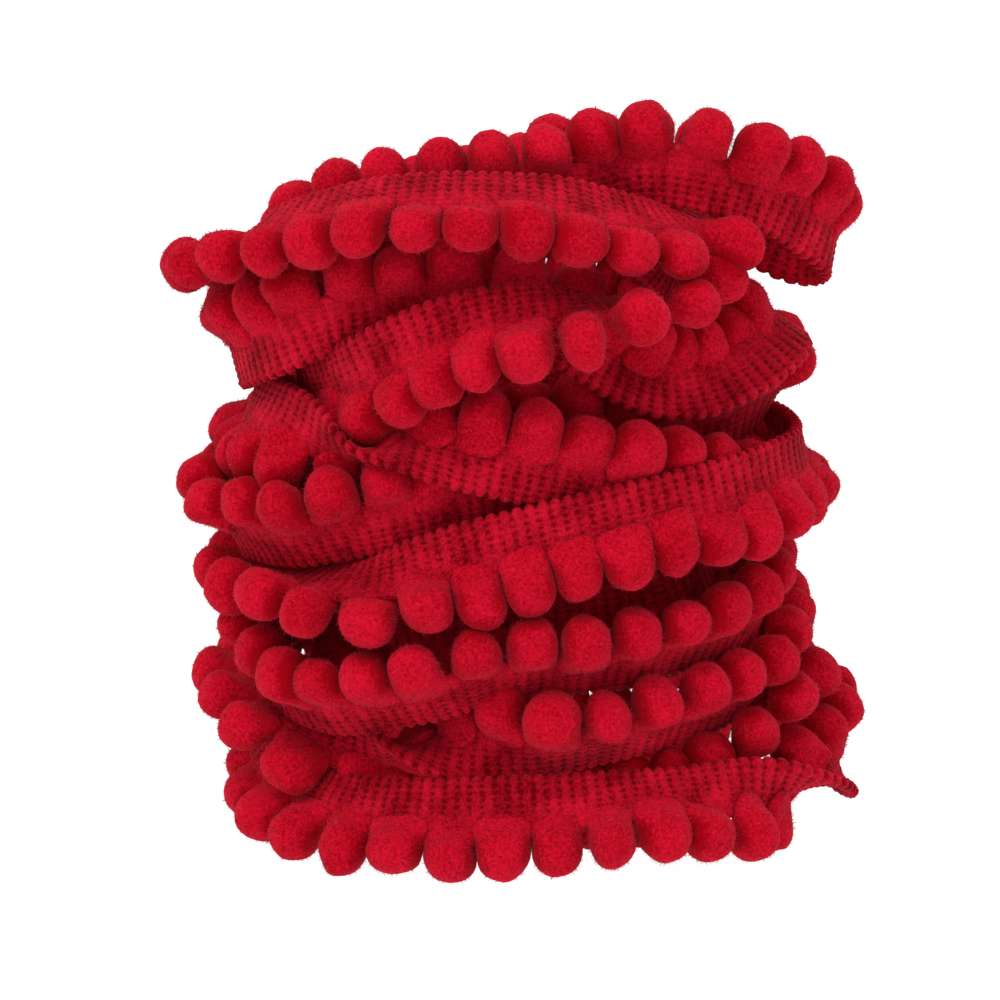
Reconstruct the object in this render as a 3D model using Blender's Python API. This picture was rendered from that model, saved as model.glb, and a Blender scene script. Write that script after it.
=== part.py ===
"""A length of pompom trim wound by hand into a loose, hollow, standing roll.

The trim is one knitted tape with a row of pompoms along one edge. It starts on
the floor behind the roll, climbs in thirteen uneven turns, and ends in a loose
loop that stands out at the top right and is tucked in behind. Seen from above
it goes from the left side (-90 degrees) across the front (0) to the right side
(90) and back behind (180).
"""

from collections import namedtuple

import bpy
import numpy as np

MM = 0.001

# The trim
TAPE_WIDTH = 11.0 * MM
TAPE_THICKNESS = 2.0 * MM
POMPOM_RADIUS = 4.9 * MM
POMPOM_REACH = 9.5 * MM  # from the tape's middle to a pompom's centre
PITCH_FRONT = 10.9 * MM  # from one pompom to the next
PITCH_BEHIND = 12.0 * MM  # the tape is drawn tighter where it goes round the back

# The mean oval that the turns follow, seen from above
HALF_WIDTH = 50 * MM
HALF_DEPTH = 34 * MM
MIDDLE_X = 4.08 * MM  # what centres the whole roll, loose loop and all, on the origin
MIDDLE_Y = 2.72 * MM

# Where each turn is measured, in degrees round the roll
STATIONS = (-90, -45, 0, 45, 90)
BEHIND = 180
START = -240
LAST_STATION = 38  # the top turn leaves the oval here, for the loose loop
AZIMUTH_STEP = 5
TWIST_ROLL = 270  # plain edge towards the viewer, where a turn twists over in front

# heights: of the tape's middle, in mm, at the five stations
# layers: how far outside the mean oval, in mm, at the five stations
# rolls: which way the pompoms point, in degrees: 0 up, 90 outward, 180 down, 270 inward
# twist: azimuth at which the tape flips over with its plain edge in front, or None
# behind: height, layer and roll at the middle of the back
Turn = namedtuple("Turn", "name heights layers rolls twist behind")
FIRST_KEY = (START, 6, 3, 20)
TURNS = (
    Turn("heel", (7, 7, 7, 9, 23), (-13, -13, -12, -3, 6),
         (0, 350, 350, 10, 30), None, (24, -8, 165)),
    Turn("foot", (17, 12, 14.5, 14.5, 10), (-4, 0, 5, 6, 14),
         (150, 140, 150, 150, 330), 75, (31, 4, 90)),
    Turn("sash", (31, 22.5, 22.5, 22, 30), (-2, -1, 0, 0, 1),
         (100, 140, 15, 30, 35), -22, (41, 1, 20)),
    Turn("belt", (36, 26, 32, 39, 46), (0, 2, 3, 4, 1),
         (20, 35, 35, 35, 20), None, (52, -7, 170)),
    Turn("tuck", (39, 34, 42, 48, 53), (-12, -10, -8, -8, -9),
         (180, 170, 170, 170, 165), None, (68, 2, 160)),
    Turn("waist", (57, 58, 68, 75, 78), (-5, 0, 3, 5, 7),
         (110, 105, 168, 172, 165), None, (82, 3, 150)),
    Turn("lining", (64, 66, 74, 60, 58), (3, 1.5, -6, -9, -10.5),
         (30, 35, 350, 0, 20), None, (70, -6, 10)),
    Turn("cross", (85, 88, 79, 71, 66), (-3, 3, 1, 0, -5.5),
         (160, 175, 350, 0, 10), -27, (88, -12, 10)),
    Turn("inner", (84, 83, 80, 79, 79), (-16, -15, -14, -10, -3),
         (10, 10, 10, 10, 30), None, (93, 1, 80)),
    Turn("chest", (88, 90.5, 109, 110, 109), (-10.5, -5, 2.5, -4, -13),
         (180, 195, 145, 60, 20), None, (113, 3, 110)),
    Turn("collar", (95, 102, 108, 92.5, 99), (3, 1, -6.5, -6.5, 1),
         (15, 0, 0, 330, 305), None, (105, -6, 350)),
    Turn("brim", (112, 127, 132, 122, 121), (0, 3, 4, -3, -15),
         (95, 122, 125, 120, 70), None, (120, -9, 10)),
    Turn("top", (110, 121.5, 125, 124, 123.5), (-10, -9.5, -9, -9.5, -9),
         (30, 20, 10, 8, 8), None, None),
)

# The loose loop at the top right and its end, tucked in behind: the tape's middle and its roll
LoopPoint = namedtuple("LoopPoint", "x y height roll")
LOOP = (
    LoopPoint(39, -22, 122, 5),
    LoopPoint(50, -18.5, 121.5, 0),
    LoopPoint(59, -12, 118, 0),
    LoopPoint(65, -4, 113.5, 0),
    LoopPoint(66, 4, 110.5, 14),
    LoopPoint(61, 11.5, 109, 14),
    LoopPoint(55, 14, 111, 5),
    LoopPoint(49.5, 16.5, 115.5, 5),
    LoopPoint(44, 20.5, 120, 10),
    LoopPoint(36, 28, 121.5, 15),
    LoopPoint(24, 34.5, 121.5, 15),
    LoopPoint(8, 38, 121, 10),
    LoopPoint(-9, 38, 120, 10),
)

# Clearance between turns, worked out on beads strung across the trim
BEADS_PER_PITCH = 3
BEAD_PLACES = np.array([-4.4, -2.2, 0.0, 2.2, 4.4]) * MM
BEAD_RADIUS = 1.4 * MM
GAP = 0.9 * MM
SAME_STRETCH = 6  # stations this close along the trim are never pushed apart
ROUNDS = 900
PAIR_LIFE = 10  # rounds between two searches for close pairs
SEARCH_MARGIN = 4 * MM
PUSH = 1.3
UPWARD_SHARE = 0.55  # turns give way sideways rather than up or down
STIFFNESS = 0.5
RELAXING = 0.004  # the pull back to the drawn line, which fades over the rounds
STIFF_FADE = 0.8
LATE = 0.7  # after this share of the rounds a push is spread over fewer stations
NO_WEIGHT = 1e-9
FLOOR_PRESS = 0.85  # a bead may sink into the floor by the rest of its radius

FINE_PER_PITCH = 12  # for reading off the way across the tape

# The pompoms: three stages of a ball on the tape's edge, of four sides each
ROOT_SHARE = 1 / 3  # of the pitch, where a pompom grows out of the tape's edge
NEAR_RING = (-1.7 * MM, 4.8 * MM)  # place along the pompom from its centre, and radius
FAR_RING = (2.1 * MM, 4.6 * MM)
SNUG = 0.43  # a pompom takes up to this share of the way to its neighbour
RESTING_BELOW = 6.2 * MM  # a pompom this low that points down rests on the floor, with a flat spot
POINTS_DOWN = -0.6

RED = (0.47, 0.006, 0.018, 1.0)


def smooth(knots, values, at):
    """A smooth curve through values at knots, read off at the places given."""
    slopes = np.gradient(values, knots)
    cell = np.clip(np.searchsorted(knots, at) - 1, 0, len(knots) - 2)
    span = knots[cell + 1] - knots[cell]
    t = (at - knots[cell]) / span
    start = (1 + 2 * t) * (1 - t) ** 2 * values[cell] + t * (1 - t) ** 2 * span * slopes[cell]
    end = t**2 * (3 - 2 * t) * values[cell + 1] - t**2 * (1 - t) * span * slopes[cell + 1]
    return start + end


def turn_keys():
    """Azimuth, height, layer and roll at every station of every turn."""
    keys = [FIRST_KEY]
    for number, turn in enumerate(TURNS):
        whole = 360 * number
        for azimuth, *row in zip(STATIONS, turn.heights, turn.layers, turn.rolls):
            keys.append((whole + azimuth, *row))
        if turn.twist is not None:
            height = np.interp(turn.twist, STATIONS, turn.heights)
            layer = np.interp(turn.twist, STATIONS, turn.layers)
            keys.append((whole + turn.twist, height, layer, TWIST_ROLL))
        if turn.behind is not None:
            keys.append((whole + BEHIND, *turn.behind))
    return np.array(sorted(keys), float).T


def drawn_path():
    """The tape's middle line and roll as the tables draw it: rows of x, y, z, roll."""
    azimuths, heights, layers, rolls = turn_keys()
    last = 360 * (len(TURNS) - 1) + LAST_STATION
    at = np.arange(START, last + 1.0, AZIMUTH_STEP)
    out = smooth(azimuths, layers, at) * MM
    angle = np.radians(at)
    wound = np.column_stack([
        (HALF_WIDTH + out) * np.sin(angle),
        -(HALF_DEPTH + out) * np.cos(angle),
        smooth(azimuths, heights, at) * MM,
        smooth(azimuths, np.unwrap(np.radians(rolls)), at),
    ])
    loop = np.array(LOOP, float) * (MM, MM, MM, np.pi / 180)
    path = np.vstack([wound, loop])
    path[:, 3] = np.unwrap(path[:, 3])
    return path


def along_pitches(path):
    """How many pompom pitches lie between the trim's start and each point of a path."""
    steps = np.linalg.norm(np.diff(path[:, :3], axis=0), axis=1)
    middle = (path[1:] + path[:-1]) / 2
    backness = 0.5 + 0.5 * middle[:, 1] / np.hypot(middle[:, 0], middle[:, 1])
    pitch = PITCH_FRONT + (PITCH_BEHIND - PITCH_FRONT) * backness
    return np.concatenate([[0], np.cumsum(steps / pitch)])


def read_off(places, path, at):
    """The path at the given places, measured in pitches from its start."""
    return np.column_stack([smooth(places, column, at) for column in path.T])


def across_tape(path):
    """Unit vectors along the trim and across its tape, towards the pompoms."""
    along = np.gradient(path[:, :3], axis=0)
    along /= np.linalg.norm(along, axis=1)[:, None]
    upward = (0, 0, 1) - along * along[:, 2:3]
    upward /= np.linalg.norm(upward, axis=1)[:, None]
    outward = np.cross(along, upward)
    roll = path[:, 3:4]
    return along, np.cos(roll) * upward + np.sin(roll) * outward


def soften(values, times):
    """Running averages along the trim."""
    for _ in range(times):
        padded = np.pad(values, ((1, 1), (0, 0)), mode="edge")
        values = (padded[:-2] + 2 * padded[1:-1] + padded[2:]) / 4
    return values


def string_beads(path):
    """Beads across the tape at each station, and one for the pompom in every third."""
    _, across = across_tape(path)
    places = np.append(BEAD_PLACES, POMPOM_REACH)
    return path[:, None, :3] + across[:, None] * places[:, None]


def close_beads(beads, reach):
    """Pairs of beads of two stretches that are nearer than their reach."""
    middle = beads[:, len(BEAD_PLACES) // 2]
    apart = np.linalg.norm(middle[:, None] - middle[None], axis=2)
    widest = 2 * (POMPOM_REACH + POMPOM_RADIUS) + SEARCH_MARGIN
    one, two = np.nonzero(np.triu(apart < widest, SAME_STRETCH))
    kinds = beads.shape[1]
    mine, other = np.indices((kinds, kinds)).reshape(2, -1)
    first = (one[:, None] * kinds + mine).ravel()
    second = (two[:, None] * kinds + other).ravel()
    flat = beads.reshape(-1, 3)
    apart = np.linalg.norm(flat[first] - flat[second], axis=1)
    near = apart < reach[first] + reach[second] + SEARCH_MARGIN
    real = (reach[first] > 0) & (reach[second] > 0)
    return first[near & real], second[near & real]


def ease_apart(drawn):
    """Move the turns off one another, mostly inward and outward, and off the floor."""
    count = len(drawn)
    kinds = len(BEAD_PLACES) + 1
    radius = np.full((count, kinds), BEAD_RADIUS)
    has_pompom = np.arange(count) % BEADS_PER_PITCH == 1
    radius[:, -1] = np.where(has_pompom, POMPOM_RADIUS, -1)
    radius = radius.ravel()
    station = np.repeat(np.arange(count), kinds)
    path = drawn.copy()
    shift = np.zeros((count, 3))
    for pass_number in range(ROUNDS):
        late = pass_number / ROUNDS
        beads = string_beads(path)
        if pass_number % PAIR_LIFE == 0:
            first, second = close_beads(beads, radius)
        flat = beads.reshape(-1, 3)
        between = flat[first] - flat[second]
        distance = np.linalg.norm(between, axis=1)
        depth = radius[first] + radius[second] + GAP - distance
        hit = depth > 0
        depth = depth[hit]
        push = between[hit] * (depth / 2 / np.maximum(distance[hit], MM / 1000))[:, None]
        move = np.zeros((count, 3))
        weight = np.full(count, NO_WEIGHT)
        for side, sign in ((first[hit], 1), (second[hit], -1)):
            for axis in range(3):
                move[:, axis] += np.bincount(station[side], sign * push[:, axis] * depth, count)
            weight += np.bincount(station[side], depth, count)
        move = soften(move / weight[:, None], 4 if late < LATE else 2)
        radial = path[:, :3] / (HALF_WIDTH**2, HALF_DEPTH**2, np.inf)
        radial /= np.linalg.norm(radial, axis=1)[:, None]
        shift += PUSH * np.sum(move * radial, axis=1)[:, None] * radial
        shift[:, 2] += PUSH * UPWARD_SHARE * move[:, 2]
        sunk = FLOOR_PRESS * radius - flat[:, 2]
        lift = np.zeros((count, 1))
        np.maximum.at(lift[:, 0], station, np.where(radius > 0, sunk, 0))
        shift[:, 2:] += soften(lift, 1)
        shift *= 1 - RELAXING * (1 - late)
        shift += STIFFNESS * (1 - STIFF_FADE * late) * (soften(shift, 3) - shift)
        path[:, :3] = drawn[:, :3] + shift
    return path


def settled_path():
    """Places along the trim, in pitches, and the eased path there."""
    drawn = drawn_path()
    places = along_pitches(drawn)
    pompoms = int(places[-1])
    at = (np.arange(BEADS_PER_PITCH * pompoms) + 0.5) / BEADS_PER_PITCH
    path = ease_apart(read_off(places, drawn, at))
    path[:, :2] -= (MIDDLE_X, MIDDLE_Y)
    return at, path


def tape_edges(at, path):
    """Cuts across the tape, two to a pompom: their middles, and units along and across the tape."""
    pompoms = len(at) // BEADS_PER_PITCH
    middles = np.arange(pompoms) + 0.5
    cuts = np.sort(np.concatenate([middles - ROOT_SHARE / 2, middles + ROOT_SHARE / 2]))
    cuts[0], cuts[-1] = at[0], at[-1]
    fine = (np.arange(pompoms * FINE_PER_PITCH) + 0.5) / FINE_PER_PITCH
    along, across = across_tape(read_off(at, path, fine))
    along, across = (
        np.column_stack([np.interp(cuts, fine, column) for column in way.T]) for way in (along, across)
    )
    across /= np.linalg.norm(across, axis=1)[:, None]
    return read_off(at, path, cuts)[:, :3], along, across


def pompom_frames(middle, across):
    """Each pompom's centre, its way out from the tape, the way of its row, and its half width that way."""
    way = across[0::2] + across[1::2]
    way /= np.linalg.norm(way, axis=1)[:, None]
    centre = (middle[0::2] + middle[1::2]) / 2 + way * POMPOM_REACH
    row = np.gradient(centre, axis=0)
    row -= way * np.sum(row * way, axis=1)[:, None]
    row /= np.linalg.norm(row, axis=1)[:, None]
    step = np.linalg.norm(np.diff(centre, axis=0), axis=1)
    nearest = np.minimum(np.append(step, step[-1]), np.insert(step, 0, step[0]))
    return centre, way, row, np.minimum(1, SNUG * nearest / FAR_RING[1])


def trim_mesh(at, path):
    """One closed mesh: the tape as a flat strip, with a pompom growing out of its edge at each pitch."""
    middle, along, across = tape_edges(at, path)
    face = np.cross(along, across)
    face /= np.linalg.norm(face, axis=1)[:, None]
    edge = across * TAPE_WIDTH / 2
    skin = face * TAPE_THICKNESS / 2
    corners = np.stack([skin - edge, -edge - skin, edge - skin, edge + skin], 1) + middle[:, None]
    vertices = [corners.reshape(-1, 3)]
    faces = [(3, 2, 1, 0)]
    for cut in range(len(middle) - 1):
        base = 4 * cut
        ahead = base + 4
        # both sides of the tape are split on the same diagonal, so that it keeps its thickness in a twist
        faces += [(base + 1, base + 2, ahead + 2), (base + 1, ahead + 2, ahead + 1)]
        faces += [(base, ahead + 3, base + 3), (base, ahead, ahead + 3)]
        faces.append((base, base + 1, ahead + 1, ahead))
        if cut % 2 == 1:
            faces.append((base + 2, base + 3, ahead + 3, ahead + 2))
    last = 4 * (len(middle) - 1)
    faces.append((last, last + 1, last + 2, last + 3))
    count = 4 * len(middle)
    for pompom, (centre, way, row, share) in enumerate(zip(*pompom_frames(middle, across))):
        cut = 8 * pompom
        root = (cut + 2, cut + 3, cut + 7, cut + 6)
        beside = np.cross(row, way)
        ball = []
        for number, (place, ring_radius) in enumerate((NEAR_RING, FAR_RING)):
            for corner in range(4):
                angle = np.radians(225 - 90 * corner + 45 * number)
                spoke = share * np.cos(angle) * row + (1 + share) / 2 * np.sin(angle) * beside
                ball.append(centre + way * place + spoke * ring_radius)
        ball.append(centre + way * POMPOM_RADIUS)
        ball = np.array(ball)
        if centre[2] < RESTING_BELOW and way[2] < POINTS_DOWN:
            ball[4:, 2] = 0
        vertices.append(ball)
        near, far, tip = count, count + 4, count + 8
        for side in range(4):
            turned = (side + 1) % 4
            faces.append((root[side], root[turned], near + turned, near + side))
            faces.append((near + side, near + turned, far + side))
            faces.append((near + turned, far + turned, far + side))
            faces.append((far + side, far + turned, tip))
        count += 9
    vertices = np.vstack(vertices)
    vertices[:, 2] = np.maximum(vertices[:, 2], 0)
    return vertices, faces


def red_wool():
    material = bpy.data.materials.new("red_yarn")
    material.use_nodes = True
    shader = material.node_tree.nodes["Principled BSDF"]
    shader.inputs["Base Color"].default_value = RED
    shader.inputs["Roughness"].default_value = 0.95
    shader.inputs["Metallic"].default_value = 0.0
    return material


def build():
    for thing in list(bpy.data.objects):
        bpy.data.objects.remove(thing)
    vertices, faces = trim_mesh(*settled_path())
    mesh = bpy.data.meshes.new("pompom_trim")
    mesh.from_pydata(vertices.tolist(), [], faces)
    mesh.validate()
    mesh.materials.append(red_wool())
    mesh.shade_smooth()
    roll = bpy.data.objects.new("pompom_trim", mesh)
    bpy.context.scene.collection.objects.link(roll)


build()
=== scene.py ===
"""A standing roll of red pompom trim, wound by hand, on a pale floor.

The file follows the trim as it is made: the way that it is wound, the knitted tape, the
pompoms along the tape's edge, the loose fibres on both, and last the floor, light and camera.
"""

from collections import namedtuple

import bpy
import numpy as np
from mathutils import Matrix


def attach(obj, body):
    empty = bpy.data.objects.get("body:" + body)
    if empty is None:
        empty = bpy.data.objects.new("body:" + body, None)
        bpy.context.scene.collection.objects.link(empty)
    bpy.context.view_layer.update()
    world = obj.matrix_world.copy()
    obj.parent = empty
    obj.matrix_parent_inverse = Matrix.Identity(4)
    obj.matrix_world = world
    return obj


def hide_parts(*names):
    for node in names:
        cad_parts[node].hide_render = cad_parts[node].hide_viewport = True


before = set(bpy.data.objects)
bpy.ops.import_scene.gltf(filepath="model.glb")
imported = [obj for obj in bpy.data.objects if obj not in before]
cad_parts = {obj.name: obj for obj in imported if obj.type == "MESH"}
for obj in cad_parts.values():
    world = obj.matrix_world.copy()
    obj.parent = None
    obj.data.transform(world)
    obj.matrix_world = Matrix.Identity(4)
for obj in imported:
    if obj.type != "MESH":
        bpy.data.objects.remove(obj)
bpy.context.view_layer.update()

MM = 0.001


# ---------------------------------------------------------------------------
# The winding. One long trim of red yarn, wound by hand in thirteen uneven turns round an open
# middle, from the floor behind the roll up to a loose loop at the top right. Turns cross, lean
# and twist over, and lie as close to one another as the pompoms let them.
# ---------------------------------------------------------------------------

TAPE_WIDTH = 11.0 * MM
POMPOM_RADIUS = 4.9 * MM  # as the turns keep clear of it
POMPOM_REACH = 9.5 * MM  # from the tape's middle to a pompom's centre
PITCH_FRONT = 10.9 * MM  # the step that places along the trim are counted in
PITCH_BEHIND = 12.0 * MM  # the same, where the trim goes round the back

HALF_WIDTH = 50 * MM  # of the mean oval that the turns follow
HALF_DEPTH = 34 * MM
MIDDLE_X = 4.08 * MM  # what centres the whole roll, loose loop and all, on the origin
MIDDLE_Y = 2.72 * MM

STATIONS = (-90, -45, 0, 45, 90)  # degrees, seen from above: left -90, front 0, right 90
BEHIND = 180
START = -240
LAST_STATION = 38  # the top turn leaves the oval here, for the loose loop
AZIMUTH_STEP = 5
TWIST_ROLL = 270  # plain edge outward, where a turn twists over in front

# heights: of the tape's middle, in mm, at the five stations
# layers: how far outside the mean oval, in mm, at the five stations
# rolls: which way the pompoms point, in degrees: 0 up, 90 outward, 180 down, 270 inward
# twist: azimuth at which the tape flips over with its plain edge in front, or None
# behind: height, layer and roll at the middle of the back
Turn = namedtuple("Turn", "name heights layers rolls twist behind")
FIRST_KEY = (START, 6, 3, 20)
TURNS = (
    Turn("heel", (7, 7, 7, 9, 23), (-13, -13, -12, -3, 6),
         (0, 350, 350, 10, 50), None, (24, -8, 165)),
    Turn("foot", (17, 12, 14.5, 14.5, 10), (-4, 0, 5, 6, 14),
         (150, 140, 150, 150, 330), 75, (31, 4, 90)),
    Turn("sash", (31, 22.5, 22.5, 22, 30), (-2, -1, 0, 0, 1),
         (100, 140, 15, 30, 35), -22, (41, 1, 20)),
    Turn("belt", (36, 26, 32, 39, 46), (0, 2, 3, 4, 1),
         (20, 35, 35, 35, 20), None, (52, -7, 170)),
    Turn("tuck", (39, 34, 42, 48, 53), (-12, -10, -8, -8, -9),
         (180, 170, 170, 170, 165), None, (68, 2, 160)),
    Turn("waist", (57, 58, 68, 75, 78), (-5, 0, 3, 5, 7),
         (110, 105, 168, 172, 165), None, (82, 3, 150)),
    Turn("lining", (64, 66, 74, 60, 58), (3, 1.5, -6, -9, -10.5),
         (30, 35, 350, 0, 20), None, (70, -6, 10)),
    Turn("cross", (85, 88, 79, 71, 66), (-3, 3, 1, 0, -5.5),
         (160, 175, 350, 0, 10), -27, (88, -12, 10)),
    Turn("inner", (84, 83, 80, 79, 79), (-16, -15, -14, -10, -3),
         (10, 10, 10, 10, 30), None, (93, 1, 80)),
    Turn("chest", (88, 90.5, 109, 110, 109), (-10.5, -5, 2.5, -4, -13),
         (180, 195, 145, 60, 20), None, (113, 3, 110)),
    Turn("collar", (95, 100.5, 108, 92.5, 99), (3, 1, -6.5, -6.5, 1),
         (15, 0, 0, 330, 305), None, (105, -6, 350)),
    Turn("brim", (112, 127, 132, 122, 121), (0, 3, 4, -3, -15),
         (95, 122, 125, 120, 70), None, (120, -9, 10)),
    Turn("top", (110, 121.5, 125, 124, 123.5), (-10, -9.5, -9, -9.5, -9),
         (30, 20, 10, 8, 8), None, None),
)

# The loose loop at the top right and its end, tucked in behind: the tape's middle, in mm, and its roll
LoopPoint = namedtuple("LoopPoint", "x y height roll")
LOOP = (
    LoopPoint(39, -22, 122, 5),
    LoopPoint(50, -18.5, 121.5, 0),
    LoopPoint(59, -12, 118, 0),
    LoopPoint(65, -4, 113.5, 0),
    LoopPoint(66, 4, 110.5, 14),
    LoopPoint(61, 11.5, 109, 14),
    LoopPoint(55, 14, 111, 5),
    LoopPoint(49.5, 16.5, 115.5, 5),
    LoopPoint(44, 20.5, 120, 10),
    LoopPoint(36, 28, 121.5, 15),
    LoopPoint(24, 34.5, 121.5, 15),
    LoopPoint(8, 38, 121, 10),
    LoopPoint(-9, 38, 120, 10),
)

# Clearance between turns, worked out on beads strung across the trim
BEADS_PER_PITCH = 3
BEAD_PLACES = np.array([-4.4, -2.2, 0.0, 2.2, 4.4]) * MM
BEAD_RADIUS = 1.4 * MM
GAP = 0.9 * MM
SAME_STRETCH = 6  # stations this close along the trim are never pushed apart
ROUNDS = 900
PAIR_LIFE = 10  # rounds between two searches for close pairs
SEARCH_MARGIN = 4 * MM
PUSH = 1.3
UPWARD_SHARE = 0.55  # turns give way sideways rather than up or down
STIFFNESS = 0.5
RELAXING = 0.004  # the pull back to the drawn line, which fades over the rounds
STIFF_FADE = 0.8
LATE = 0.7  # after this share of the rounds a push is spread over fewer stations
EARLY_SPREAD = 4  # running averages that spread a push
LATE_SPREAD = 2
LIFT_SPREAD = 1
BEND_SPREAD = 3  # the same, for how far the trim's bends are smoothed in a round
NO_WEIGHT = 1e-9
NO_DISTANCE = MM / 1000
FLOOR_PRESS = 0.85  # a bead may sink into the floor by the rest of its radius


def smooth(knots, values, at):
    """A smooth curve through values at knots, read off at the places given: cubic Hermite
    pieces whose slopes are the mean slopes at the knots."""
    slopes = np.gradient(values, knots)
    cell = np.clip(np.searchsorted(knots, at) - 1, 0, len(knots) - 2)
    span = knots[cell + 1] - knots[cell]
    t = (at - knots[cell]) / span
    start = (1 + 2 * t) * (1 - t) ** 2 * values[cell] + t * (1 - t) ** 2 * span * slopes[cell]
    end = t**2 * (3 - 2 * t) * values[cell + 1] - t**2 * (1 - t) * span * slopes[cell + 1]
    return start + end


def turn_keys():
    """Azimuth, height, layer and roll at every station of every turn."""
    keys = [FIRST_KEY]
    for number, turn in enumerate(TURNS):
        whole = 360 * number
        for azimuth, *row in zip(STATIONS, turn.heights, turn.layers, turn.rolls):
            keys.append((whole + azimuth, *row))
        if turn.twist is not None:
            height = np.interp(turn.twist, STATIONS, turn.heights)
            layer = np.interp(turn.twist, STATIONS, turn.layers)
            keys.append((whole + turn.twist, height, layer, TWIST_ROLL))
        if turn.behind is not None:
            keys.append((whole + BEHIND, *turn.behind))
    return np.array(sorted(keys), float).T


def drawn_path():
    """The tape's middle line and roll as the tables draw it: rows of x, y, z, roll."""
    azimuths, heights, layers, rolls = turn_keys()
    last = 360 * (len(TURNS) - 1) + LAST_STATION
    at = np.arange(START, last + 1.0, AZIMUTH_STEP)
    out = smooth(azimuths, layers, at) * MM
    angle = np.radians(at)
    wound = np.column_stack([
        (HALF_WIDTH + out) * np.sin(angle),
        -(HALF_DEPTH + out) * np.cos(angle),
        smooth(azimuths, heights, at) * MM,
        smooth(azimuths, np.unwrap(np.radians(rolls)), at),
    ])
    loop = np.array(LOOP, float) * (MM, MM, MM, np.pi / 180)
    path = np.vstack([wound, loop])
    path[:, 3] = np.unwrap(path[:, 3])
    return path


def along_pitches(path):
    """How many pompom pitches lie between the trim's start and each point of a path."""
    steps = np.linalg.norm(np.diff(path[:, :3], axis=0), axis=1)
    middle = (path[1:] + path[:-1]) / 2
    backness = 0.5 + 0.5 * middle[:, 1] / np.hypot(middle[:, 0], middle[:, 1])
    pitch = PITCH_FRONT + (PITCH_BEHIND - PITCH_FRONT) * backness
    return np.concatenate([[0], np.cumsum(steps / pitch)])


def read_off(places, path, at):
    """The path at the given places, measured in pitches from its start."""
    return np.column_stack([smooth(places, column, at) for column in path.T])


def across_tape(path):
    """Unit vectors along the trim and across its tape, towards the pompoms."""
    along = np.gradient(path[:, :3], axis=0)
    along /= np.linalg.norm(along, axis=1)[:, None]
    upward = (0, 0, 1) - along * along[:, 2:3]
    upward /= np.linalg.norm(upward, axis=1)[:, None]
    outward = np.cross(along, upward)
    roll = path[:, 3:4]
    return along, np.cos(roll) * upward + np.sin(roll) * outward


def soften(values, times):
    """Running averages along the trim: a quarter of each neighbour and half of the value itself."""
    for _ in range(times):
        padded = np.pad(values, ((1, 1), (0, 0)), mode="edge")
        values = (padded[:-2] + 2 * padded[1:-1] + padded[2:]) / 4
    return values


def string_beads(path):
    """Centres of the beads across the tape at each place, and last where its pompom would be."""
    _, across = across_tape(path)
    places = np.append(BEAD_PLACES, POMPOM_REACH)
    return path[:, None, :3] + across[:, None] * places[:, None]


def close_beads(beads, reach):
    """Pairs of beads of two stretches that are nearer than their reach, or nearly so."""
    middle = beads[:, len(BEAD_PLACES) // 2]
    apart = np.linalg.norm(middle[:, None] - middle[None], axis=2)
    widest = 2 * (POMPOM_REACH + POMPOM_RADIUS) + SEARCH_MARGIN
    one, two = np.nonzero(np.triu(apart < widest, SAME_STRETCH))
    kinds = beads.shape[1]
    mine, other = np.indices((kinds, kinds)).reshape(2, -1)
    first = (one[:, None] * kinds + mine).ravel()
    second = (two[:, None] * kinds + other).ravel()
    flat = beads.reshape(-1, 3)
    apart = np.linalg.norm(flat[first] - flat[second], axis=1)
    near = apart < reach[first] + reach[second] + SEARCH_MARGIN
    real = (reach[first] > 0) & (reach[second] > 0)
    return first[near & real], second[near & real]


def ease_apart(drawn):
    """Move the turns off one another, mostly inward and outward, and off the floor. In each round every
    pair of beads nearer than its reach is pushed apart by half of what is missing, the pushes are averaged
    over each stretch, and the trim's stiffness smooths how far it has moved."""
    count = len(drawn)
    kinds = len(BEAD_PLACES) + 1
    radius = np.full((count, kinds), BEAD_RADIUS)
    has_pompom = np.arange(count) % BEADS_PER_PITCH == 1
    radius[:, -1] = np.where(has_pompom, POMPOM_RADIUS, -1)
    radius = radius.ravel()
    station = np.repeat(np.arange(count), kinds)
    path = drawn.copy()
    shift = np.zeros((count, 3))
    for pass_number in range(ROUNDS):
        late = pass_number / ROUNDS
        beads = string_beads(path)
        if pass_number % PAIR_LIFE == 0:
            first, second = close_beads(beads, radius)
        flat = beads.reshape(-1, 3)
        between = flat[first] - flat[second]
        distance = np.linalg.norm(between, axis=1)
        depth = radius[first] + radius[second] + GAP - distance
        hit = depth > 0
        depth = depth[hit]
        push = between[hit] * (depth / 2 / np.maximum(distance[hit], NO_DISTANCE))[:, None]
        move = np.zeros((count, 3))
        weight = np.full(count, NO_WEIGHT)
        for side, sign in ((first[hit], 1), (second[hit], -1)):
            for axis in range(3):
                move[:, axis] += np.bincount(station[side], sign * push[:, axis] * depth, count)
            weight += np.bincount(station[side], depth, count)
        move = soften(move / weight[:, None], EARLY_SPREAD if late < LATE else LATE_SPREAD)
        radial = path[:, :3] / (HALF_WIDTH**2, HALF_DEPTH**2, np.inf)
        radial /= np.linalg.norm(radial, axis=1)[:, None]
        shift += PUSH * np.sum(move * radial, axis=1)[:, None] * radial
        shift[:, 2] += PUSH * UPWARD_SHARE * move[:, 2]
        sunk = FLOOR_PRESS * radius - flat[:, 2]
        lift = np.zeros((count, 1))
        np.maximum.at(lift[:, 0], station, np.where(radius > 0, sunk, 0))
        shift[:, 2:] += soften(lift, LIFT_SPREAD)
        shift *= 1 - RELAXING * (1 - late)
        shift += STIFFNESS * (1 - STIFF_FADE * late) * (soften(shift, BEND_SPREAD) - shift)
        path[:, :3] = drawn[:, :3] + shift
    return path


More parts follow.
